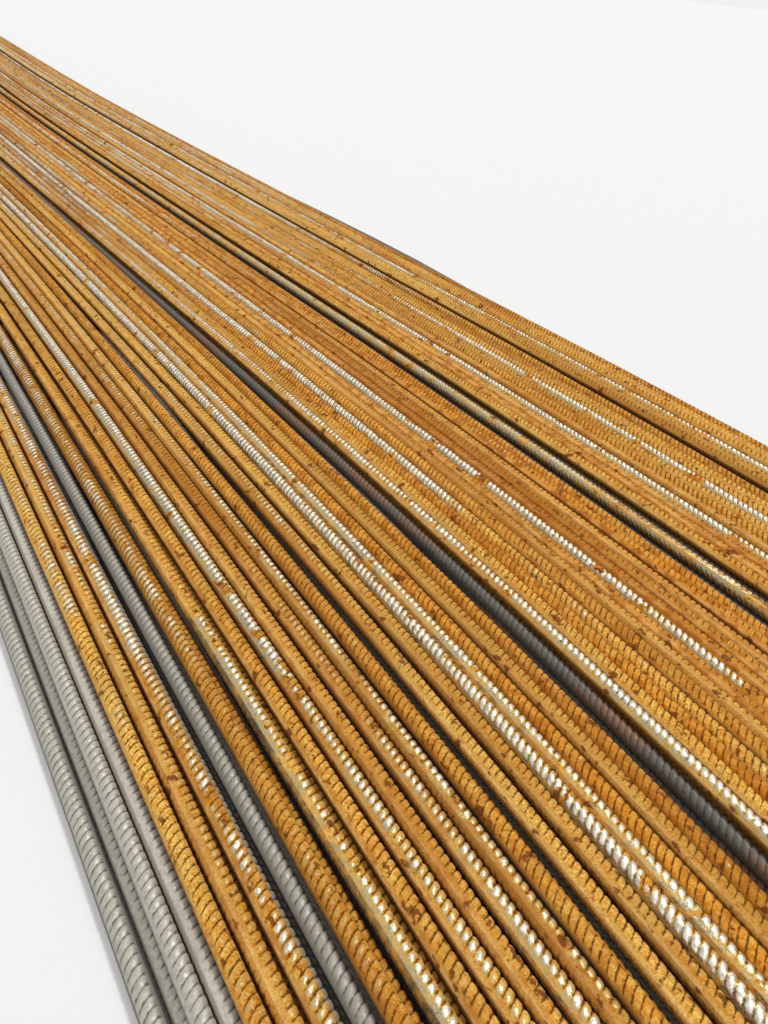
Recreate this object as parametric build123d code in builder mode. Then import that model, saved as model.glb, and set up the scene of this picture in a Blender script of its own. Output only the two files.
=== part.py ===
"""A wide, flat, loose bundle of reinforcing bars, lying in three layers on a level floor.

X runs along the bars, Y across them and Z up. The origin is the middle of the bundle's footprint,
at floor level. Every bar is a solid of its own, a round rod that wanders sideways a little, because
long bars are never quite straight. It keeps to one level, because it is stiff and rides on the
high spots below it. All bars bend at shared stations along X, so that the room between two
neighbours can open and close without their ever meeting.
"""

from math import asin, cos, exp, pi, sin, sqrt
import os

from build123d import *

# Bar stock
bar_length = 6000
bar_diameter = 12

# Air left between two bars that lie against each other
bar_clearance = 0.3

# How many bars the two lower layers hold, side by side
bottom_bars = 45
middle_bars = 57

# Top bars lie in the grooves between middle bars. These grooves, counted from the left side,
# have none, and neither have a few at both sides
empty_grooves = [4, 20, 34, 36, 48]
empty_left_grooves = 1
empty_right_grooves = 1

# Extra room between neighbours, on average. It comes and goes in waves along the bars, each with
# its own length and strength
bottom_slack = 4.9
middle_slack = 0.5
wave_count = 3.2
least_strength = 0.4

# How much more room there is in the bottom layer near one place along X, as a share of the half
# length, and the share over which that fades
bottom_fan = 1.2
fan_place = -0.9
fan_spread = 0.63

# How far the bottom layer reaches out past the middle one on the left side of the bundle
bottom_overhang = 17

# The sideways sweep that all bars share
sway = 16

# Ends that don't line up: most by no more than the stagger, and a share of them by up to the overshoot
end_stagger = 34
longest_overshoot = 110
overshooting_share = 0.07

# Straight runs between the bends of a bar
runs = 10
run_unevenness = 0.1
arc_share = 0.45
least_turn = 0.0004

# Grooves of the middle layer that stand open wider: the groove, its extra width, the place along X
# where it is widest, as a share of the half length, and the share over which it closes. The bar in
# a groove that stays open from end to end lies lower
open_grooves = [
    (2, 2.5, 0, 5),
    (4, 3.0, -0.95, 0.50),
    (5, 8.0, -0.85, 0.45),
    (6, 8.0, -0.85, 0.45),
    (7, 3.0, 0, 5),
    (9, 3.0, -0.90, 0.50),
    (10, 5.0, 0.45, 0.40),
    (10, 2.5, -0.90, 0.50),
    (12, 8.5, -0.80, 0.40),
    (13, 8.5, -0.80, 0.40),
    (14, 2.5, 0, 5),
    (17, 3.0, 0, 5),
    (20, 14.5, -0.85, 0.42),
    (21, 3.5, -0.75, 0.45),
    (24, 3.5, 0, 5),
    (26, 7.0, 0.70, 0.40),
    (29, 4.0, -0.60, 0.30),
    (31, 5.0, 0, 5),
    (34, 2.5, -0.80, 0.40),
    (36, 2.5, -0.80, 0.40),
    (40, 4.5, 0, 5),
    (43, 4.0, -0.55, 0.30),
    (46, 3.0, 0, 5),
    (48, 1.5, -0.70, 0.30),
    (51, 5.0, 0, 5),
]

# Values worked out from the sizes above
bar_radius = bar_diameter / 2
pitch = bar_diameter + bar_clearance
half_length = bar_length / 2
reach = half_length + 2 * longest_overshoot
samples_per_run = 6
bottom_seed, middle_seed, top_seed = 3, 71, 137


def scatter(seed):
    """An irregular but repeatable number from 0 to 1."""
    return 43758.5453 * sin(12.9898 * seed) % 1


def station(k):
    """X of bend k. The bends are spread a little unevenly from end to end."""
    share = k / runs
    return reach * (2 * share - 1) + reach / runs * run_unevenness * sin(2.7 * k) * sin(pi * share)


stations = [station(k) for k in range(runs + 1)]
shortest_run = min(b - a for a, b in zip(stations, stations[1:]))


def shared_sway(x):
    """The long sideways sweep that the whole bundle takes."""
    return sway * (sin(2.2 * x / half_length + 0.4) + 0.3 * sin(5.1 * x / half_length))


def slack(seed, mean, x):
    """Room between two neighbours: never negative, and wider in some places than in others."""
    strength = least_strength + 2 * (1 - least_strength) * scatter(seed + 0.25)
    wave = cos(wave_count * (1 + scatter(seed)) * x / half_length + 2 * pi * scatter(seed + 0.5))
    return mean * strength * (1 + wave) ** 2 / 1.5


def opening(groove, x):
    """Extra width at x of a groove of the middle layer."""
    return sum(
        width * exp(-(((x / half_length - place) / spread) ** 2))
        for number, width, place, spread in open_grooves
        if number == groove
    )


def fan(groove, x):
    """Extra width at x of each groove of the bottom layer, the same for all."""
    return bottom_fan * exp(-(((x / half_length - fan_place) / fan_spread) ** 2))


def spread_out(count, seed, mean_slack, extra, left_edge):
    """Y of each bar of a layer at each station, from the bundle's left side to its right side."""
    columns = []
    for x in stations:
        y = left_edge + shared_sway(x) - bar_radius
        column = [y]
        for i in range(count - 1):
            y -= pitch + slack(seed + i, mean_slack, x) + extra(i, x)
            column.append(y)
        columns.append(column)
    return [list(bar) for bar in zip(*columns)]


def middles(left, right):
    """Y of a bar that lies in the groove between two others."""
    return [(a + b) / 2 for a, b in zip(left, right)]


def between(values, k, share):
    """A value part of the way from station k to the next."""
    return values[k] * (1 - share) + values[k + 1] * share


def level(ys, layer_below):
    """Height of a bar's centre line: the lowest that clears the floor and every bar below it."""
    height = bar_radius
    for other_ys, other_height in layer_below:
        for k in range(runs):
            for s in range(samples_per_run + 1):
                share = s / samples_per_run
                off = between(ys, k, share) - between(other_ys, k, share)
                if abs(off) < pitch:
                    height = max(height, other_height + sqrt(pitch**2 - off**2))
    return height


def lengthwise_shift(seed):
    """How far a bar lies ahead of or behind the rest, whose ends nearly line up."""
    if scatter(seed + 0.3) > 1 - overshooting_share:
        return longest_overshoot * (2 * scatter(seed + 0.7) - 1)
    return end_stagger * (2 * scatter(seed) - 1)


def route(ys, shift):
    """Plan points of one bar's centre line, from its near end to its far end."""
    near = shift - half_length
    far = near + bar_length
    near_share = (near - stations[0]) / (stations[1] - stations[0])
    far_share = (far - stations[-2]) / (stations[-1] - stations[-2])
    bends = [(stations[k], ys[k]) for k in range(1, runs)]
    return [(near, between(ys, 0, near_share))] + bends + [(far, between(ys, runs - 1, far_share))]


def turn(before, corner, after):
    """Angle, in radians, by which a bar turns at a point of its route."""
    run_in = Vector(*corner) - Vector(*before)
    run_out = Vector(*after) - Vector(*corner)
    return asin(run_in.normalized().cross(run_out.normalized()).length)


def real_bends(points):
    """The same route without the points where the bar is as good as straight."""
    turns = [turn(*points[k - 1 : k + 2]) for k in range(1, len(points) - 1)]
    bends = [point for point, angle in zip(points[1:-1], turns) if angle > least_turn]
    return [points[0]] + bends + [points[-1]]


def arc_ends(before, corner, after):
    """Where a bend's arc starts and ends: the same way before its corner as after it."""
    way = arc_share * shortest_run
    run_in = (Vector(*corner) - Vector(*before)).normalized()
    run_out = (Vector(*after) - Vector(*corner)).normalized()
    return tuple(Vector(*corner) - run_in * way), tuple(Vector(*corner) + run_out * way)


def make_bar(points, height):
    """One rod: straight runs joined by arcs tangent to them, cut square at both ends."""
    points = real_bends(points)
    with BuildPart() as bar:
        with BuildLine(Plane.XY.offset(height)) as centre_line:
            run_start = points[0]
            for before, corner, after in zip(points, points[1:], points[2:]):
                arc_start, arc_end = arc_ends(before, corner, after)
                Line(run_start, arc_start)
                TangentArc(arc_start, arc_end, tangent=Vector(*corner) - Vector(*before))
                run_start = arc_end
            Line(run_start, points[-1])
        with BuildSketch(Plane(centre_line.wire() @ 0, z_dir=centre_line.wire() % 0)):
            Circle(bar_radius)
        sweep(path=centre_line.wire())
    return bar.part


def make_layer(name, bars):
    """All the bars of one layer, as separate solids of one node."""
    part = Compound([make_bar(*bar).solid() for bar in bars])
    part.label = name
    export_step(part, f"parts/{name}.step")


# Places across the bundle, at every station
bottom_rows = spread_out(bottom_bars, bottom_seed, bottom_slack, fan, bottom_overhang)
middle_rows = spread_out(middle_bars, middle_seed, middle_slack, opening, 0)
last_groove = middle_bars - 2 - empty_right_grooves
filled_grooves = [g for g in range(empty_left_grooves, last_groove + 1) if g not in empty_grooves]
top_rows = [middles(middle_rows[g], middle_rows[g + 1]) for g in filled_grooves]

# The same with the bundle's middle at Y = 0
outermost = [y for row in bottom_rows + middle_rows for y in row]
middle_y = (min(outermost) + max(outermost)) / 2
bottom_rows, middle_rows, top_rows = (
    [[y - middle_y for y in row] for row in rows] for rows in (bottom_rows, middle_rows, top_rows)
)

# Levels, each layer on the one below
bottom_layer = [(ys, level(ys, [])) for ys in bottom_rows]
middle_layer = [(ys, level(ys, bottom_layer)) for ys in middle_rows]
top_layer = [(ys, level(ys, middle_layer)) for ys in top_rows]

# Places along the bundle, with its middle at X = 0
layers = {
    "bottom_layer_bars": (bottom_layer, bottom_seed),
    "middle_layer_bars": (middle_layer, middle_seed),
    "top_layer_bars": (top_layer, top_seed),
}
shifts = {
    name: [lengthwise_shift(seed + i) for i in range(len(bars))] for name, (bars, seed) in layers.items()
}
all_shifts = [shift for row in shifts.values() for shift in row]
middle_shift = (min(all_shifts) + max(all_shifts)) / 2

if __name__ == "__main__":
    os.makedirs("parts", exist_ok=True)
    for name, (bars, seed) in layers.items():
        make_layer(name, [
            (route(ys, shift - middle_shift), height) for (ys, height), shift in zip(bars, shifts[name])
        ])
        heights = [height for ys, height in bars]
        print(name, len(bars), "bars, centre lines", round(min(heights), 2), "to", round(max(heights), 2))
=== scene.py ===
# %% [markdown]
# # A bundle of reinforcing bars
# Ribbed steel bars lie side by side in a wide, flat heap. The bars are all alike in shape and all
# different in finish: some are orange with rust, some show a bare bright flank, and the sheltered
# ones below are still grey. This lesson dresses a model of plain round rods: it reads where each
# rod lies, and lays a ribbed surface over it that is worked out from two parameters.

# %% Load the plain rods
import math

import bpy
import numpy as np
from mathutils import Matrix, Vector


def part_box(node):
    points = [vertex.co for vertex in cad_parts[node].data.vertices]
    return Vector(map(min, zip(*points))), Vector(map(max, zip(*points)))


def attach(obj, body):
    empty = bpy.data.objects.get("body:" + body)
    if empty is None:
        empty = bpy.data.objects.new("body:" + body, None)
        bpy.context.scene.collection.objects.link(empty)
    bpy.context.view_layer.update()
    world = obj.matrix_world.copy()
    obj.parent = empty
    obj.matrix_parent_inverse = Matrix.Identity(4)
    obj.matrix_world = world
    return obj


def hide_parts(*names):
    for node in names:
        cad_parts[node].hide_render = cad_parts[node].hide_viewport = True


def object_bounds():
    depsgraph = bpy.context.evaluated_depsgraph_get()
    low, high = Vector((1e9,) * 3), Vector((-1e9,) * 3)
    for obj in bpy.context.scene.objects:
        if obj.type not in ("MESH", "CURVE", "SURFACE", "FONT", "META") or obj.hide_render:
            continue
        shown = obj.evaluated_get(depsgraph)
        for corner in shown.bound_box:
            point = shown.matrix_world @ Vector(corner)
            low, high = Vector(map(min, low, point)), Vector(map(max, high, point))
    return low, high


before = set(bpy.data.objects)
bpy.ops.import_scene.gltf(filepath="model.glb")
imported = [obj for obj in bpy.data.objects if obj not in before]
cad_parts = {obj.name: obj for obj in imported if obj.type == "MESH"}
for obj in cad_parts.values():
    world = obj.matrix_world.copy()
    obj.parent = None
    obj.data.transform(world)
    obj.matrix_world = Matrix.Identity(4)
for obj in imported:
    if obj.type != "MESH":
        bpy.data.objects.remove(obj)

cad_low, cad_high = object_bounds()
print("the bundle measures", [round(v, 3) for v in cad_high - cad_low], "m")

# %% [markdown]
# ## Where the bars lie
# Each layer of the model is one mesh of loose triangles, with dozens of rods in it. We could copy
# the rods' routes by hand, but then they would go stale when the model changes. So we find them:
# corners at the same place are one point, points joined by a triangle belong to one rod, and the
# mean of each ring of points is a place on that rod's centre line.

# %% Read the points of a layer
MERGE_DIGITS = 6  # corners that agree to this many digits, in metres, are one point


def read_mesh(node):
    """Points and triangles of a layer, with corners at the same place merged into one."""
    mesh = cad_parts[node].data
    corners = np.empty(len(mesh.vertices) * 3, np.float32)
    mesh.vertices.foreach_get("co", corners)
    loops = np.empty(len(mesh.loops), np.int32)
    mesh.loops.foreach_get("vertex_index", loops)
    grid = np.round(corners.reshape(-1, 3).astype(float), MERGE_DIGITS)
    points, same = np.unique(grid, axis=0, return_inverse=True)
    return points, same.ravel()[loops].reshape(-1, 3)


def rod_labels(points, triangles):
    """The lowest point number that each point can reach over the triangles. It is the same all
    over a rod: each round passes it on across every triangle, until nothing changes."""
    label = np.arange(len(points))
    while True:
        lowest = label.copy()
        corner_lowest = np.repeat(label[triangles].min(axis=1), 3)
        np.minimum.at(lowest, triangles.ravel(), corner_lowest)
        lowest = lowest[lowest]
        if (lowest == label).all():
            return label
        label = lowest


# %% Read each rod's centre line
RING_STEP = 0.004  # rings of one rod are further apart than this along X


def centre_line(points):
    """Means of the rings of one rod, in order along X."""
    ordered = points[np.argsort(points[:, 0])]
    breaks = np.flatnonzero(np.diff(ordered[:, 0]) > RING_STEP) + 1
    return np.array([ring.mean(axis=0) for ring in np.split(ordered, breaks)])


def read_rods(node):
    """Centre lines of all rods of a layer, from the bundle's left side to its right side."""
    points, triangles = read_mesh(node)
    label = rod_labels(points, triangles)
    lines = [centre_line(points[label == number]) for number in np.unique(label)]
    return sorted(lines, key=lambda line: -line[:, 1].mean())


top_rods, middle_rods, bottom_rods = (
    read_rods(node) for node in ("top_layer_bars", "middle_layer_bars", "bottom_layer_bars")
)
BAR_RADIUS = (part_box("bottom_layer_bars")[1].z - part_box("bottom_layer_bars")[0].z) / 2
DIAMETER = 2 * BAR_RADIUS
print(len(top_rods), len(middle_rods), len(bottom_rods), "rods of radius", round(BAR_RADIUS, 4))

# %% [markdown]
# ## The camera
# The picture is taken from low over the near left corner, looking along the bars. The values below
# are counted in bar diameters, as they were found from the way the bars narrow with distance.

# %% Camera
camera_height = 36 * DIAMETER
camera_side = 14.8 * DIAMETER
camera_back = 17 * DIAMETER
camera_heading, camera_tilt, camera_roll = (math.radians(a) for a in (-25.2, 21.3, 6.5))

camera_data = bpy.data.cameras.new("camera")
camera_data.sensor_width = 36
camera_data.lens = 49.9
camera_data.clip_start, camera_data.clip_end = 0.02, 60
camera = bpy.data.objects.new("camera", camera_data)
bpy.context.scene.collection.objects.link(camera)
bpy.context.scene.camera = camera

near_left_end = top_rods[0][0]
camera.location = (
    cad_low.x - camera_back,
    near_left_end[1] + BAR_RADIUS + camera_side,
    cad_high.z + camera_height,
)
ahead = Vector((
    math.cos(camera_tilt) * math.cos(camera_heading),
    math.cos(camera_tilt) * math.sin(camera_heading),
    -math.sin(camera_tilt),
))
level_right = ahead.cross(Vector((0, 0, 1))).normalized()
upright = level_right.cross(ahead)
right = math.cos(camera_roll) * level_right + math.sin(camera_roll) * upright
up = right.cross(ahead)
camera.rotation_mode = "QUATERNION"
camera.rotation_quaternion = Matrix((right, up, -ahead)).transposed().to_quaternion()
print("camera at", [round(v, 3) for v in camera.location])

# %% [markdown]
# ## The shape of a ribbed bar
# A bar is rolled between two grooved wheels. It gets two fine ribs along its sides, where the
# wheels meet, and broad slanting ribs across both faces, with narrow slits between them. A plain
# strip stays smooth on both sides of each side rib. We could cut the slits with a modifier, but on
# so many bars that is slow. So the radius is a function of two parameters instead: the angle round
# the bar, and the place along it, counted in ribs. The rows of the grid run askew with the ribs,
# so that three rows are enough for each rib: one in the slit and two at the edges of the crest.

# %% Sizes of the ribs
RIB_PITCH = 0.0075
RIB_HEIGHT = 0.00045  # the crests reach the bar's nominal radius, and the core lies this much lower
CORE_RADIUS = BAR_RADIUS - RIB_HEIGHT
SLIT_DEPTH = 0.0008  # from the crests down
SLANT = 0.0115  # how far a rib runs along the bar, from one smooth strip to the other
STRIP = 0.40  # half width of a smooth strip, in radians
FACE_FADE = 0.25  # share of a face's half over which the cross ribs fade out
SIDE_RIB_WIDTH = 0.11  # in radians
SIDE_RIB_FOOT = 0.12  # columns of the grid at the foot of a side rib, in radians from its crest
SIDE_RIB_HEIGHT = 0.0004
LEAST_SIDE_RIB = 0.00002  # where its bell curve is lower than this, a side rib has ended

upper_face = [0.72, 1.04, 1.39, 1.75, 2.10, 2.42]
lower_face = [4.0, 4.71, 5.4]
fine_angles = np.array([
    0, SIDE_RIB_FOOT, STRIP, *upper_face, math.pi - STRIP, math.pi - SIDE_RIB_FOOT,
    math.pi, math.pi + STRIP, *lower_face, math.tau - STRIP, math.tau - SIDE_RIB_FOOT,
])
coarse_columns = 10
coarse_angles = np.arange(coarse_columns) * math.tau / coarse_columns
bar_length = top_rods[0][-1, 0] - top_rods[0][0, 0]
print(round(bar_length / RIB_PITCH), "ribs to a bar,", len(fine_angles), "columns round it")


# %% The radius round the bar
def cross_face(angle):
    """1 where the cross ribs stand, 0 in the smooth strips. In between it is the smooth step
    3 s^2 - 2 s^3 of the share s of the way from the strip."""
    off_side = math.pi / 2 - np.abs(np.mod(angle, math.pi) - math.pi / 2)
    share = np.clip((off_side - STRIP) / (math.pi / 2) / FACE_FADE, 0, 1)
    return share * share * (3 - 2 * share)


def slant_shift(angle):
    """How far a cross rib has run along the bar at an angle. A rib is cut by a slanting plane, so
    on each face that is the cosine of the angle. Within the strips it returns to nothing."""
    on_face = np.mod(angle, math.pi)
    to_strip = np.clip((math.pi / 2 - np.abs(on_face - math.pi / 2)) / STRIP, 0, 1)
    return -SLANT / 2 * np.cos(on_face) * to_strip


def side_rib(angle):
    """Bell curve e^-(a/w)^2 of the angle a from a side rib, 1 on the crest of each of the two."""
    off_side = np.abs(np.mod(angle + math.pi / 2, math.pi) - math.pi / 2)
    return np.exp(-((off_side / SIDE_RIB_WIDTH) ** 2))


def bar_radius(angle, land):
    """Core plus the higher one of two reliefs: the side rib, and the cross rib, which is whole
    where land is 1 and is cut down by the slit where land is 0."""
    cross = cross_face(angle) * (RIB_HEIGHT - SLIT_DEPTH * (1 - land))
    side = SIDE_RIB_HEIGHT * side_rib(angle)
    return CORE_RADIUS + np.where(side > LEAST_SIDE_RIB, np.maximum(cross, side), cross)


# %% The rows along the bar
SLIT = 0.28  # half width of the slit between two crests, as a share of the pitch
FAR_STEP = 0.16  # distance between two rows of the smooth stretch
BEVEL = 0.0006  # of the cut ends
SMOOTH_LAND = 0.7  # level of the smooth stretch, between the slits at 0 and the crests at 1


def rows_along(length, ribbed):
    """Places along a bar and the land at each. Three marks to a rib come first, over the ribbed
    stretch at the near end, and then even steps to the far end."""
    ribs = int(ribbed / RIB_PITCH)
    marks = (np.arange(ribs)[:, None] + np.array([0, SLIT, 1 - SLIT])).ravel() * RIB_PITCH
    lands = np.tile([0.0, 1.0, 1.0], ribs)
    keep = (marks > 2 * BEVEL) & (marks < length - 2 * BEVEL)
    near_edge = np.array([BEVEL] if ribs else [])
    start = marks[keep][-1] + RIB_PITCH if ribs else BEVEL
    smooth = np.linspace(start, length - BEVEL, max(2, int((length - start) / FAR_STEP) + 1))
    places = np.concatenate([near_edge, marks[keep], smooth])
    land = np.full(len(places), SMOOTH_LAND)
    land[len(near_edge) : len(near_edge) + keep.sum()] = lands[keep]
    return places, land


# %% The surface of one bar
RAMP = 3 * RIB_PITCH  # the slant of the rows dies out over this length towards both cut ends


def bar_surface(line, turn, angles, ribbed):
    """Grid of points of one bar. X is the place along it plus the slant. Y and Z are the centre
    line plus the radius times cosine and sine of the angle, and X gives way where the bar leans.
    A narrower ring closes each end, with a middle point for its cap."""
    near, far = line[0, 0], line[-1, 0]
    places, land = rows_along(far - near, ribbed)
    ramp = np.clip(np.minimum(places, far - near - places) / RAMP, 0, 1)[:, None]
    x = near + places[:, None] + ramp * slant_shift(angles)
    radius = bar_radius(angles[None, :], land[:, None])
    cap = np.full((1, len(angles)), 1.0)
    x = np.vstack([near * cap, x, far * cap])
    radius = np.vstack([radius[:1] - BEVEL, radius, radius[-1:] - BEVEL])
    phase = np.concatenate([[0], places, [far - near]])[:, None] / RIB_PITCH * np.ones_like(x)
    lean = np.interp(x, line[:, 0], np.gradient(line[:, 1], line[:, 0]))
    round_angle = angles + turn
    sideways = radius * np.cos(round_angle)
    y = np.interp(x, line[:, 0], line[:, 1]) + sideways
    z = np.interp(x, line[:, 0], line[:, 2]) + radius * np.sin(round_angle)
    points = np.stack([np.clip(x - lean * sideways, cad_low.x, cad_high.x), y, z], axis=-1)
    tips = np.array([line[0], line[-1]])
    return points, tips, phase, round_angle * np.ones_like(x)


# %% [markdown]
# ## From grids to meshes
# Many bars share one mesh, because a scene with hundreds of objects is slow to handle. Each grid
# becomes rows of quads that close round the bar, and fans of triangles at its two ends. What tells
# one bar from the next in colour travels with the points, as attributes that the material reads.

# %% Faces of a grid
def grid_faces(rows, columns, first):
    """Quads between neighbouring rows, closed round the bar, with their outer sides outwards."""
    row_starts = first + np.arange(rows - 1)[:, None] * columns
    here = row_starts + np.arange(columns)
    beside = row_starts + (np.arange(columns) + 1) % columns
    return np.stack([here, beside, beside + columns, here + columns], axis=-1).reshape(-1, 4)


def cap_faces(rows, columns, first, tips):
    """A fan of triangles at each end, from the first and the last ring to a middle point."""
    ring = np.arange(columns)
    after = (ring + 1) % columns
    near_fan = np.stack([first + after, first + ring, np.full(columns, tips)], axis=-1)
    last = first + (rows - 1) * columns
    far_fan = np.stack([last + ring, last + after, np.full(columns, tips + 1)], axis=-1)
    return np.vstack([near_fan, far_fan])


# %% A mesh from whole arrays
def mesh_from(name, points, quads, fans, attributes):
    """A mesh object of quads and fans. The fans stay flat, so that the cut ends look sawn."""
    mesh = bpy.data.meshes.new(name)
    mesh.vertices.add(len(points))
    mesh.vertices.foreach_set("co", points.astype(np.float32).ravel())
    corners = np.concatenate([quads.ravel(), fans.ravel()]).astype(np.int32)
    mesh.loops.add(len(corners))
    mesh.loops.foreach_set("vertex_index", corners)
    starts = np.concatenate([np.arange(len(quads)) * 4, quads.size + np.arange(len(fans)) * 3])
    mesh.polygons.add(len(starts))
    mesh.polygons.foreach_set("loop_start", starts.astype(np.int32))
    mesh.polygons.foreach_set("use_smooth", np.arange(len(starts)) < len(quads))
    for label, values in attributes.items():
        layer = mesh.attributes.new(label, "FLOAT", "POINT")
        layer.data.foreach_set("value", values.astype(np.float32))
    mesh.update(calc_edges=True)
    piece = bpy.data.objects.new(name, mesh)
    bpy.context.scene.collection.objects.link(piece)
    return piece


# %% What the material knows of each point
def point_attributes(bar, phase, angle):
    """Values at each point of a bar's grid: where it is on the ribs, which way it faces, and what
    finish its bar has there."""
    along = phase * RIB_PITCH
    return {
        "rib_phase": phase,
        "face": cross_face(angle - bar["turn"]),
        "ridge": side_rib(angle - bar["turn"]),
        "flank": np.cos(angle - bar["flank_angle"]),
        "height": np.sin(angle),
        "plain": (along > bar["ribbed"]).astype(float),
        "bare": np.interp(along, *bar["bare"]),
        "grey": np.full(along.shape, bar["grey"]),
        "tone": np.full(along.shape, bar["tone"]),
    }


def bars_piece(name, bars):
    """One object of several bars. Each bar is its line, turn, angles, ribbed length and finish."""
    points, quads, fans, first = [], [], [], 0
    attributes = {}
    for bar in bars:
        grid, tips, phase, angle = bar_surface(
            bar["line"], bar["turn"], bar["angles"], bar["ribbed"]
        )
        rows, columns = grid.shape[:2]
        flat = np.vstack([grid.reshape(-1, 3), tips])
        quads.append(grid_faces(rows, columns, first))
        fans.append(cap_faces(rows, columns, first, first + rows * columns))
        points.append(flat)
        first += len(flat)
        for key, value in point_attributes(bar, phase, angle).items():
            attributes.setdefault(key, []).append(np.append(value.ravel(), value[[0, -1], 0]))
    attributes = {key: np.concatenate(parts) for key, parts in attributes.items()}
    piece = mesh_from(name, np.vstack(points), np.vstack(quads), np.vstack(fans), attributes)
    triangles = 2 * sum(map(len, quads)) + sum(map(len, fans))
    print(name, len(bars), "bars,", triangles, "triangles")
    return piece


# %% [markdown]
# ## Tools for the finishes
# A finish is a graph of nodes, and a graph written node by node is long and hard to read. A few
# small helpers make it read like a formula: each takes sockets or plain numbers, and gives back the
# socket with the result.

# %% A new material and its inputs
def new_material(name):
    """An empty node material with a Principled shader in its output."""
    material = bpy.data.materials.new(name)
    material.use_nodes = True
    tree = material.node_tree
    tree.nodes.clear()
    output = tree.nodes.new("ShaderNodeOutputMaterial")
    shader = tree.nodes.new("ShaderNodeBsdfPrincipled")
    tree.links.new(shader.outputs["BSDF"], output.inputs["Surface"])
    return material, tree, shader


def set_inputs(tree, node, values):
    """Each value is a socket to link from, or a constant."""
    for key, value in values.items():
        if isinstance(value, bpy.types.NodeSocket):
            tree.links.new(value, node.inputs[key])
        else:
            node.inputs[key].default_value = value


def attribute(tree, name):
    """A value that travels with the points of the mesh."""
    node = tree.nodes.new("ShaderNodeAttribute")
    node.attribute_name = name
    return node.outputs["Fac"]


# %% Formulas with sockets
def calculate(tree, operation, *values):
    """One step of arithmetic, named as in the Math node."""
    node = tree.nodes.new("ShaderNodeMath")
    node.operation = operation
    set_inputs(tree, node, dict(enumerate(values)))
    return node.outputs[0]


def times(tree, first, second):
    """Product of two values."""
    return calculate(tree, "MULTIPLY", first, second)


def times_plus(tree, first, second, added):
    """Product of two values, plus a third."""
    return calculate(tree, "MULTIPLY_ADD", first, second, added)


def step_between(tree, value, low, high, start=0.0, end=1.0):
    """Smooth step of a value from low to high, which leads from start to end."""
    node = tree.nodes.new("ShaderNodeMapRange")
    node.interpolation_type = "SMOOTHSTEP"
    set_inputs(tree, node, {
        "Value": value, "From Min": low, "From Max": high, "To Min": start, "To Max": end,
    })
    return node.outputs["Result"]


# %% Noise and colour
def noise(tree, along, across, detail):
    """Noise from 0 to 1, with so many waves to a metre along the bars and across them."""
    coordinates = tree.nodes.new("ShaderNodeTexCoord")
    mapping = tree.nodes.new("ShaderNodeMapping")
    set_inputs(tree, mapping, {
        "Vector": coordinates.outputs["Object"], "Scale": (along, across, across),
    })
    node = tree.nodes.new("ShaderNodeTexNoise")
    set_inputs(tree, node, {"Vector": mapping.outputs["Vector"], "Scale": 1.0, "Detail": detail})
    return node.outputs["Fac"]


def mix_colours(tree, share, first, second):
    """The first colour where the share is 0, the second where it is 1."""
    node = tree.nodes.new("ShaderNodeMix")
    node.data_type = "RGBA"
    colour_inputs = [socket for socket in node.inputs if socket.type == "RGBA"]
    set_inputs(tree, node, {0: share})
    for socket, value in zip(colour_inputs, (first, second)):
        if isinstance(value, bpy.types.NodeSocket):
            tree.links.new(value, socket)
        else:
            socket.default_value = (*value, 1.0)
    return next(socket for socket in node.outputs if socket.type == "RGBA")


def painted(tree, colour, coats):
    """A colour under coats of paint. Each coat is the share that it covers, and its own colour."""
    for share, coat in coats:
        colour = mix_colours(tree, share, colour, coat)
    return colour


# %% [markdown]
# ## Painted shade and wear keep to the ribs
# The slits are painted dark, as painted shade between the ribs. The crests get rubbed, and where
# the metal is bare they are painted bright, partly as a painted highlight. The foot of a bar is
# painted dark, as the shade that its neighbours cast on it. All finishes share these masks. They
# come from the bar's own measures, so they meet the ribs of the mesh exactly. Far away the mesh is
# plain, and there the same ribs go on as a bump.

# %% Masks from the ribs
RAGGEDNESS = 0.45  # how far the noise moves the edges of a slit, in pitches per unit of noise
# The dark of a slit is painted shade, the shade that falls between two ribs.
SLIT_DARK = (0.03, 0.17)  # in pitches from a slit's middle: where its dark is full, and ends
CREST_BRIGHT = (0.12, 0.34)  # and where the crest starts, and is full
CHANCE_SPREAD = 5000.0  # keeps the ribs of bars of nearly the same tone apart


def rib_masks(tree, ragged):
    """Slit between two ribs, crest of a rib, and the height of the profile for the bump. The
    distance from the slit's middle is a half less the distance of the phase from the rib's middle,
    and the ragged noise moves it to and fro."""
    place = calculate(tree, "FRACT", attribute(tree, "rib_phase"))
    off_crest = calculate(tree, "ABSOLUTE", calculate(tree, "SUBTRACT", place, 0.5))
    off_slit = calculate(tree, "SUBTRACT", 0.5, off_crest)
    waver = calculate(tree, "SUBTRACT", ragged, 0.5)
    off_edge = times_plus(tree, waver, RAGGEDNESS, off_slit)
    face = attribute(tree, "face")
    slit = times(tree, step_between(tree, off_edge, *SLIT_DARK, 1.0, 0.0), face)
    crest = times(tree, step_between(tree, off_edge, *CREST_BRIGHT), face)
    groove = times(tree, step_between(tree, off_slit, 0.0, SLIT, 1.0, 0.0), face)
    height = times(tree, groove, attribute(tree, "plain"))
    return slit, crest, times(tree, height, -1.0)


def rib_chance(tree):
    """A number from 0 to 1 for each rib of each bar, the same all over that rib."""
    node = tree.nodes.new("ShaderNodeTexWhiteNoise")
    node.noise_dimensions = "1D"
    rib = calculate(tree, "FLOOR", attribute(tree, "rib_phase"))
    set_inputs(tree, node, {"W": times_plus(tree, attribute(tree, "tone"), CHANCE_SPREAD, rib)})
    return node.outputs["Value"]


# %% The shaded foot and the bump
def foot_shade(tree):
    """Painted shade below, where the neighbouring bars shade the foot, by the sine of the angle
    round
    the bar: most of it up to just under the widest place, none from a third of the way up."""
    return step_between(tree, attribute(tree, "height"), -0.15, 0.32, 0.8, 0.0)


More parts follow.
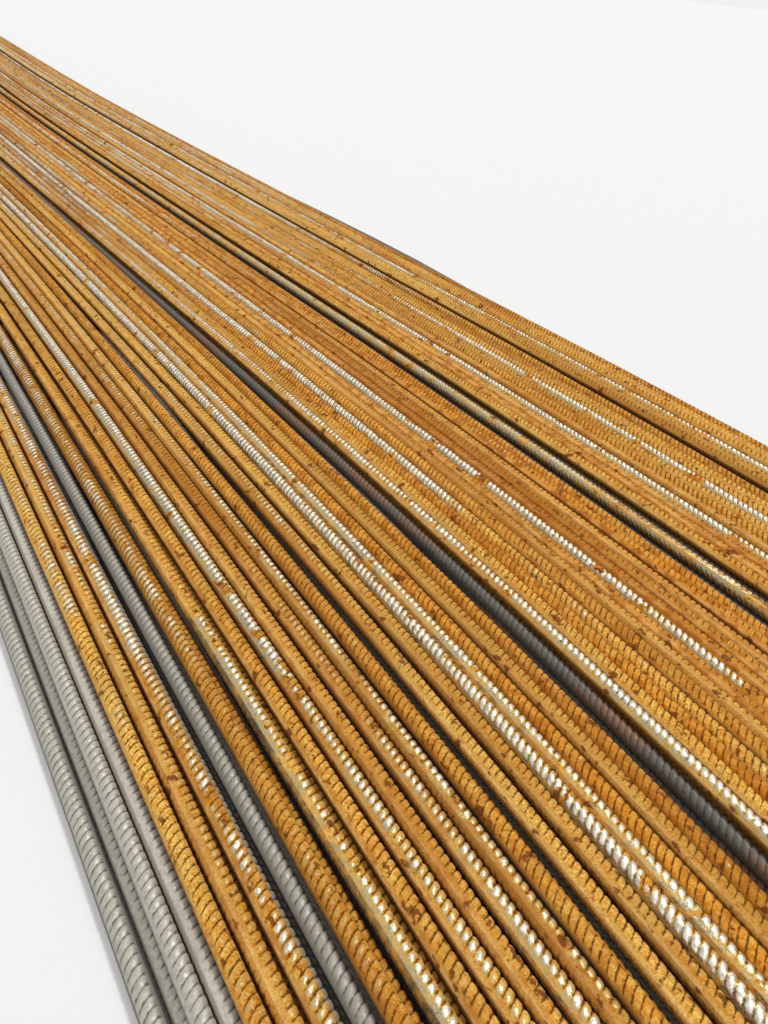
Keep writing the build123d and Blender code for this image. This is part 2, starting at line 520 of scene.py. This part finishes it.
def bump(tree, rib_height, grain, grain_height):
    """Ribs of the plain stretch, in metres, with a fine grain on top."""
    ribs = tree.nodes.new("ShaderNodeBump")
    set_inputs(tree, ribs, {"Height": rib_height, "Distance": SLIT_DEPTH, "Strength": 1.0})
    fine = tree.nodes.new("ShaderNodeBump")
    set_inputs(tree, fine, {
        "Height": grain, "Distance": grain_height, "Strength": 0.7,
        "Normal": ribs.outputs["Normal"],
    })
    return fine.outputs["Normal"]


# %% [markdown]
# ## Rusty steel
# Rust grows in layers: a thin olive film first, then orange powder, then dark scabs. One brown
# would look like paint, so each of these is a coat of its own, with its own noise: fine for powder
# and pits, long and narrow for the streaks that rain and handling leave along the bars.

# %% Coats of rust
def rust_colour(tree, grain, island, chance, slit, foot):
    """Orange powder by its grain, then the coats over it, from what tints it to what covers it."""
    tone, face = attribute(tree, "tone"), attribute(tree, "face")
    powder_grain = step_between(tree, grain, 0.34, 0.66)
    powder = mix_colours(tree, powder_grain, (0.70, 0.265, 0.014), (1.0, 0.76, 0.20))
    mottle = step_between(tree, noise(tree, 110, 170, 3.0), 0.36, 0.74)
    deep = times_plus(tree, chance, 0.18, times_plus(tree, mottle, 0.34, tone))
    on_strip = times_plus(tree, face, -0.36, 0.36)
    in_bands = step_between(tree, noise(tree, 9, 60, 2.0), 0.50, 0.74, 0.0, 0.5)
    blotches = step_between(tree, noise(tree, 70, 120, 4.0), 0.46, 0.60)
    scabs = times_plus(tree, island, 0.10, noise(tree, 75, 150, 3.0))
    deep_orange, olive, pit = (0.74, 0.25, 0.013), (0.60, 0.36, 0.085), (0.34, 0.105, 0.010)
    cream, old_brown, streak = (0.95, 0.66, 0.34), (0.47, 0.150, 0.014), (0.36, 0.125, 0.014)
    blotch, scab = (0.42, 0.125, 0.012), (0.16, 0.038, 0.010)
    # Both colours on the next line are painted shade: in the slits, and at the foot of the bar.
    painted_slit_shade, painted_foot_shade = (0.115, 0.042, 0.006), (0.13, 0.055, 0.012)
    return painted(tree, powder, (
        (deep, deep_orange),
        (calculate(tree, "ADD", in_bands, on_strip), olive),
        (step_between(tree, noise(tree, 240, 300, 2.0), 0.60, 0.74, 0.0, 0.7), pit),
        (times(tree, attribute(tree, "ridge"), 0.45), cream),
        (step_between(tree, noise(tree, 5, 75, 3.0), 0.47, 0.72, 0.0, 0.5), old_brown),
        (step_between(tree, noise(tree, 0.7, 26, 2.0), 0.50, 0.66, 0.0, 0.55), streak),
        (times(tree, blotches, times_plus(tree, tone, 1.1, 0.12)), blotch),
        (step_between(tree, scabs, 0.62, 0.70, 0.0, 0.85), scab),
        # Painted shade in the slits.
        (times(tree, slit, 0.92), painted_slit_shade),
        # Painted shade at the foot, where the neighbouring bars shade it.
        (foot, painted_foot_shade),
    ))


# %% [markdown]
# ## Bare metal
# Where bars rub against each other, the rust wears off again and bright metal shows, on the crests
# of one flank first. A painted stripe would look stuck on, so wear is a sum: how bare the bar is
# there, how far the flank faces the rubbing, and several noises. Past a threshold the sum shows
# metal, and just short of it a thin olive film.

# %% Bare metal under the rust
METAL_FROM, FILM_FROM = (2.36, 2.60), (2.12, 2.42)  # the sum at which each starts and is full


def worn_amount(tree, speck, crest, chance, island):
    """The bare attribute plus the weighted sum of what helps or hinders the wear."""
    amount = attribute(tree, "bare")
    for part, weight in (
        (attribute(tree, "flank"), 0.75), (noise(tree, 11, 50, 1.0), 0.7), (speck, 0.7),
        (crest, 0.45), (chance, 0.25), (island, -0.8),
    ):
        amount = times_plus(tree, part, weight, amount)
    return amount


def silver_colour(tree, grain, speck, slit, crest, foot):
    """Bright on the crests, as rubbed metal and a painted highlight, and dull beside them, with
    painted shade in the slits and at the foot.
    """
    dull_grain = step_between(tree, grain, 0.34, 0.66)
    dull = mix_colours(tree, dull_grain, (0.30, 0.24, 0.13), (0.50, 0.45, 0.31))
    speckled = step_between(tree, speck, 0.40, 0.62)
    # The bright crest colour is rubbed metal, and a painted highlight as well.
    bright = mix_colours(tree, speckled, (0.80, 0.77, 0.70), (0.50, 0.45, 0.38))
    # Both colours on this line are painted shade: in the slits, and at the foot of the bar.
    painted_slit_shade, painted_foot_shade = (0.09, 0.045, 0.015), (0.06, 0.05, 0.035)
    return painted(tree, dull, (
        (crest, bright),
        # Painted shade in the slits.
        (times(tree, slit, 0.90), painted_slit_shade),
        # Painted shade at the foot, where the neighbouring bars shade it.
        (foot, painted_foot_shade),
    ))


# %% Rusty bars
def rusty_steel():
    """Rust, bare metal where the wear is past its threshold, and an olive film between the two."""
    material, tree, shader = new_material("rusty_steel")
    grain = noise(tree, 560, 640, 3.0)
    speck = noise(tree, 130, 260, 2.0)
    island = step_between(tree, noise(tree, 34, 60, 3.0), 0.58, 0.66)
    slit, crest, rib_height = rib_masks(tree, noise(tree, 300, 380, 3.0))
    chance, foot = rib_chance(tree), foot_shade(tree)
    rust = rust_colour(tree, grain, island, chance, slit, foot)
    silver = silver_colour(tree, grain, speck, slit, crest, foot)
    amount = worn_amount(tree, speck, crest, chance, island)
    metal, film = (step_between(tree, amount, *start) for start in (METAL_FROM, FILM_FROM))
    olive_film = (0.50, 0.39, 0.16)
    set_inputs(tree, shader, {
        "Base Color": painted(tree, rust, (
            (times(tree, film, 0.85), olive_film),
            (metal, silver),
        )),
        "Metallic": times_plus(tree, metal, 0.4, times(tree, film, 0.5)),
        "Roughness": step_between(tree, film, 0.0, 1.0, 0.65, 0.36),
        "Specular IOR Level": 0.03,
        "Normal": bump(tree, rib_height, grain, 0.0006),
    })
    return material


rusty = rusty_steel()
print(rusty.name, "has", len(rusty.node_tree.nodes), "nodes")

# %% [markdown]
# ## Grey steel
# The sheltered bars keep the skin of the rolling mill, a dull warm grey oxide. It is half a metal
# to the eye: it has a broad, weak shine and hardly any colour. Thin brown rust starts in places.

# %% Grey bars
def grey_steel():
    """Grey between dark and light by the grey attribute, with brown rust in patches."""
    material, tree, shader = new_material("grey_steel")
    grain = noise(tree, 260, 420, 3.0)
    slit, _, rib_height = rib_masks(tree, grain)
    patches = step_between(tree, noise(tree, 10, 70, 3.0), 0.48, 0.66)
    dark_skin, light_skin, scale = (0.070, 0.064, 0.052), (0.58, 0.55, 0.47), (0.17, 0.15, 0.13)
    # The last two colours on this line are painted shade: in the slits, and at the foot of the bar.
    brown, painted_slit_shade, painted_foot_shade = (0.26, 0.10, 0.03), (0.04, 0.035, 0.03), (0.04, 0.035, 0.025)
    skin = mix_colours(tree, attribute(tree, "grey"), dark_skin, light_skin)
    set_inputs(tree, shader, {
        "Base Color": painted(tree, skin, (
            (step_between(tree, grain, 0.35, 0.70, 0.0, 0.30), scale),
            (times(tree, patches, attribute(tree, "tone")), brown),
            # Painted shade in the slits.
            (times(tree, slit, 0.7), painted_slit_shade),
            # Painted shade at the foot, where the neighbouring bars shade it.
            (foot_shade(tree), painted_foot_shade),
        )),
        "Metallic": 0.4,
        "Specular IOR Level": 0.2,
        "Roughness": step_between(tree, grain, 0.3, 0.7, 0.46, 0.64),
        "Normal": bump(tree, rib_height, grain, 0.00015),
    })
    return material


grey = grey_steel()
print(grey.name, "has", len(grey.node_tree.nodes), "nodes")

# %% [markdown]
# ## Every bar its own finish
# The table names bars of the top layer, from left to right: how bare each is at some places along
# it. The others get a little metal, drawn at random, and so do the turn of a bar about its own
# line, the side it is rubbed on and the darkness of its rust. The draws come from a seeded
# generator, so that they are the same each time.

# %% Table of bare bars
BARE = {  # number of a bar: places along it in metres, and how bare it is at each
    0: ([0.49, 0.56, 0.71, 0.84, 1.39], [0.15, 0.60, 0.50, 0.30, 0.55]),
    1: ([0.29, 0.59, 1.39], [0.30, 0.60, 0.60]),
    2: ([0.09, 0.5, 0.53, 0.61, 0.64], [0.62, 0.50, 0.85, 0.85, 0.60]),
    3: ([0.29, 0.59, 1.39], [0.10, 0.45, 0.60]),
    4: ([0.09, 0.51, 0.53, 1.29], [0.85, 0.85, 0.15, 0.30]),
    6: ([0.34, 0.45, 1.69], [0.55, 0.95, 0.95]),
    8: ([0.19, 0.33, 0.39, 0.79, 1.29], [0.80, 0.70, 0.30, 0.30, 0.50]),
    9: ([0.19, 0.34, 0.69, 1.09], [0.50, 0.70, 0.50, 0.40]),
    11: ([0.29, 0.54, 0.69, 1.09], [0.05, 0.20, 0.50, 0.40]),
    13: ([0.09, 0.39, 0.44, 1.09], [0.95, 0.75, 0.90, 1.00]),
    14: ([0.09, 0.39, 0.69, 1.09], [0.80, 0.70, 0.95, 0.75]),
    18: ([0.19, 0.59, 0.99, 2.0], [0.85, 0.80, 0.60, 0.50]),
    21: ([0.39, 0.69, 0.79, 2.59], [0.10, 0.30, 0.90, 1.10]),
    25: ([0.29, 0.49, 0.99, 2.09], [0.10, 0.90, 1.05, 0.80]),
    31: ([0.09, 0.59, 1.09, 3.09], [0.65, 0.80, 0.90, 0.70]),
    35: ([0.09, 0.69, 0.99, 3.09], [0.50, 0.95, 1.00, 0.70]),
    39: ([0.09, 1.09, 1.5], [0.95, 0.90, 0.45]),
    45: ([0.09, 2.09], [0.70, 0.80]),
}
PLAIN_PLACES = [0.0, 1.0, 2.4, 6.0]  # the other bars are a little barer towards their far end, there as a painted sheen
PLAIN_BARE_AND_SHEEN = np.array([0.06, 0.12, 0.95, 0.95])
print(len(BARE), "bars of the top layer have a bare flank of their own")

# %% Table of grey bars
LIGHT_MIDDLE = {0: 0.85, 1: 1.0, 4: 0.60, 5: 0.62, 20: 0.25, 21: 0.1}
LIGHT_BOTTOM = {0: 0.8, 1: 0.8, 2: 0.5}
SHELTERED = (0, 1, 4, 5, 20, 21, 34, 35, 36, 37, 48, 49)  # middle bars under wide gaps stay grey
print(len(SHELTERED), "bars of the middle layer are grey")


# %% Which bars need ribs
BOTTOM_IN_VIEW = 6  # so many bars of the bottom layer lie open at the bundle's left side


def seen_from_above(rods, rods_above, reach):
    """Rods that have fewer than two rods close above them at the near end, so that they show."""
    places = np.array([rod[0, 1] for rod in rods])
    above = np.array([rod[0, 1] for rod in rods_above])
    return (np.abs(places[:, None] - above) < reach).sum(axis=1) < 2


def from_left(rod):
    """How far a rod's near end is from the top layer's left side, in diameters."""
    return (top_rods[0][0, 1] - rod[0, 1]) / DIAMETER


def relief_length(rod):
    """Length of the ribbed stretch of a bar: longest on the bars that pass close to the camera."""
    return float(np.interp(from_left(rod), [20, 24, 40, 44], [1.05, 0.92, 0.92, 0.30]))


middle_seen = seen_from_above(middle_rods, top_rods, 0.8 * DIAMETER)
bottom_seen = np.arange(len(bottom_rods)) < BOTTOM_IN_VIEW
print("middle bars that show", np.flatnonzero(middle_seen), "bottom", np.flatnonzero(bottom_seen))


# %% Finish of each bar
draw = np.random.default_rng(12)


def tone_by_side(rod):
    """Scales the tone of a bar: the bars on the left are a brighter orange."""
    return float(np.interp(from_left(rod), [12, 26], [0.55, 1.0]))


def describe(rods, ribbed, bare, grey_level):
    """The data of each bar that its surface and finish need."""
    return [
        {
            "line": rod,
            "turn": draw.uniform(-0.3, 1.0),
            "angles": fine_angles if relief else coarse_angles,
            "ribbed": relief_length(rod) if relief else 0.0,
            "flank_angle": draw.uniform(0.6, 1.3),
            # Far along a bar, much of this drawn metal is a painted sheen.
            "bare": bare.get(number, (PLAIN_PLACES, draw.uniform(0.0, PLAIN_BARE_AND_SHEEN))),
            "grey": grey_level.get(number, draw.uniform(0.0, 0.35)),
            "tone": draw.uniform(0.0, 0.75) ** 1.5 * tone_by_side(rod),
        }
        for number, (rod, relief) in enumerate(zip(rods, ribbed))
    ]


top_bars = describe(top_rods, np.ones(len(top_rods), bool), BARE, {})
middle_bars = describe(middle_rods, middle_seen, {}, LIGHT_MIDDLE)
bottom_bars = describe(bottom_rods, bottom_seen, {}, LIGHT_BOTTOM)
grey_middle = [bar for number, bar in enumerate(middle_bars) if number in SHELTERED]
rusty_middle = [bar for number, bar in enumerate(middle_bars) if number not in SHELTERED]
print(len(top_bars) + len(rusty_middle), "rusty,", len(grey_middle) + len(bottom_bars), "grey")


# %% Make the three layers
def make_pieces(label, bars, count, material, node):
    """The bars of a layer as several objects, each with its share of neighbouring bars."""
    for number, share in enumerate(np.array_split(np.arange(len(bars)), count), start=1):
        piece = bars_piece(f"{label}_{number}", [bars[i] for i in share])
        piece.data.materials.append(material)
        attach(piece, "root")
        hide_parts(node)


make_pieces("top_bars", top_bars, 8, rusty, "top_layer_bars")
make_pieces("rusty_middle_bars", rusty_middle, 4, rusty, "middle_layer_bars")
make_pieces("grey_middle_bars", grey_middle, 2, grey, "middle_layer_bars")
make_pieces("bottom_bars", bottom_bars, 4, grey, "bottom_layer_bars")

# %% [markdown]
# ## Floor and light
# A pale floor and soft light from a wide sky show the colours as they are. Two broad lamps give
# the ribs a bright and a dark side: one ahead, whose light glances off the crests, and a weaker one
# from the left, which keeps the near flanks from going dark. Metal needs something to mirror, so
# glossy rays see the same pale backdrop as the camera does.

# %% Floor
FLOOR_REACH = 60.0
floor_material, floor_tree, floor_shader = new_material("floor")
set_inputs(floor_tree, floor_shader, {"Base Color": (0.88, 0.88, 0.87, 1.0), "Roughness": 0.9})
floor_mesh = bpy.data.meshes.new("floor")
signs = ((-1, -1), (1, -1), (1, 1), (-1, 1))
floor_corners = [(x * FLOOR_REACH, y * FLOOR_REACH, 0) for x, y in signs]
floor_mesh.from_pydata(floor_corners, [], [(0, 1, 2, 3)])
floor_mesh.materials.append(floor_material)
floor = bpy.data.objects.new("floor", floor_mesh)
bpy.context.scene.collection.objects.link(floor)
print("floor", 2 * FLOOR_REACH, "m wide")


# %% Lamps
def sun(name, heading, height, width, strength):
    """A broad sun: its heading in degrees from +X and its height above the floor, how wide it is
    in the sky, and how strong."""
    data = bpy.data.lights.new(name, "SUN")
    data.energy = strength
    data.angle = math.radians(width)
    lamp = bpy.data.objects.new(name, data)
    lamp.rotation_euler = (0.0, math.radians(90 - height), math.radians(heading))
    bpy.context.scene.collection.objects.link(lamp)
    print(name, "shines from", heading, "degrees,", height, "up")


sun("window_ahead", -30, 56, 12, 1.35)
sun("window_left", 100, 48, 20, 1.25)

# %% Sky and backdrop
world = bpy.data.worlds.new("studio")
bpy.context.scene.world = world
world.use_nodes = True
sky_tree = world.node_tree
sky = sky_tree.nodes["Background"]
set_inputs(sky_tree, sky, {"Color": (1.0, 1.0, 1.0, 1.0), "Strength": 0.36})
backdrop = sky_tree.nodes.new("ShaderNodeBackground")
set_inputs(sky_tree, backdrop, {"Color": (0.885, 0.885, 0.875, 1.0), "Strength": 1.0})
ray = sky_tree.nodes.new("ShaderNodeLightPath").outputs
shown = calculate(sky_tree, "MAXIMUM", ray["Is Camera Ray"], ray["Is Glossy Ray"])
either = sky_tree.nodes.new("ShaderNodeMixShader")
set_inputs(sky_tree, either, {0: shown, 1: sky.outputs[0], 2: backdrop.outputs[0]})
set_inputs(sky_tree, sky_tree.nodes["World Output"], {"Surface": either.outputs[0]})
bpy.context.scene.view_settings.view_transform = "Standard"
print("sky of strength", round(sky.inputs["Strength"].default_value, 2))
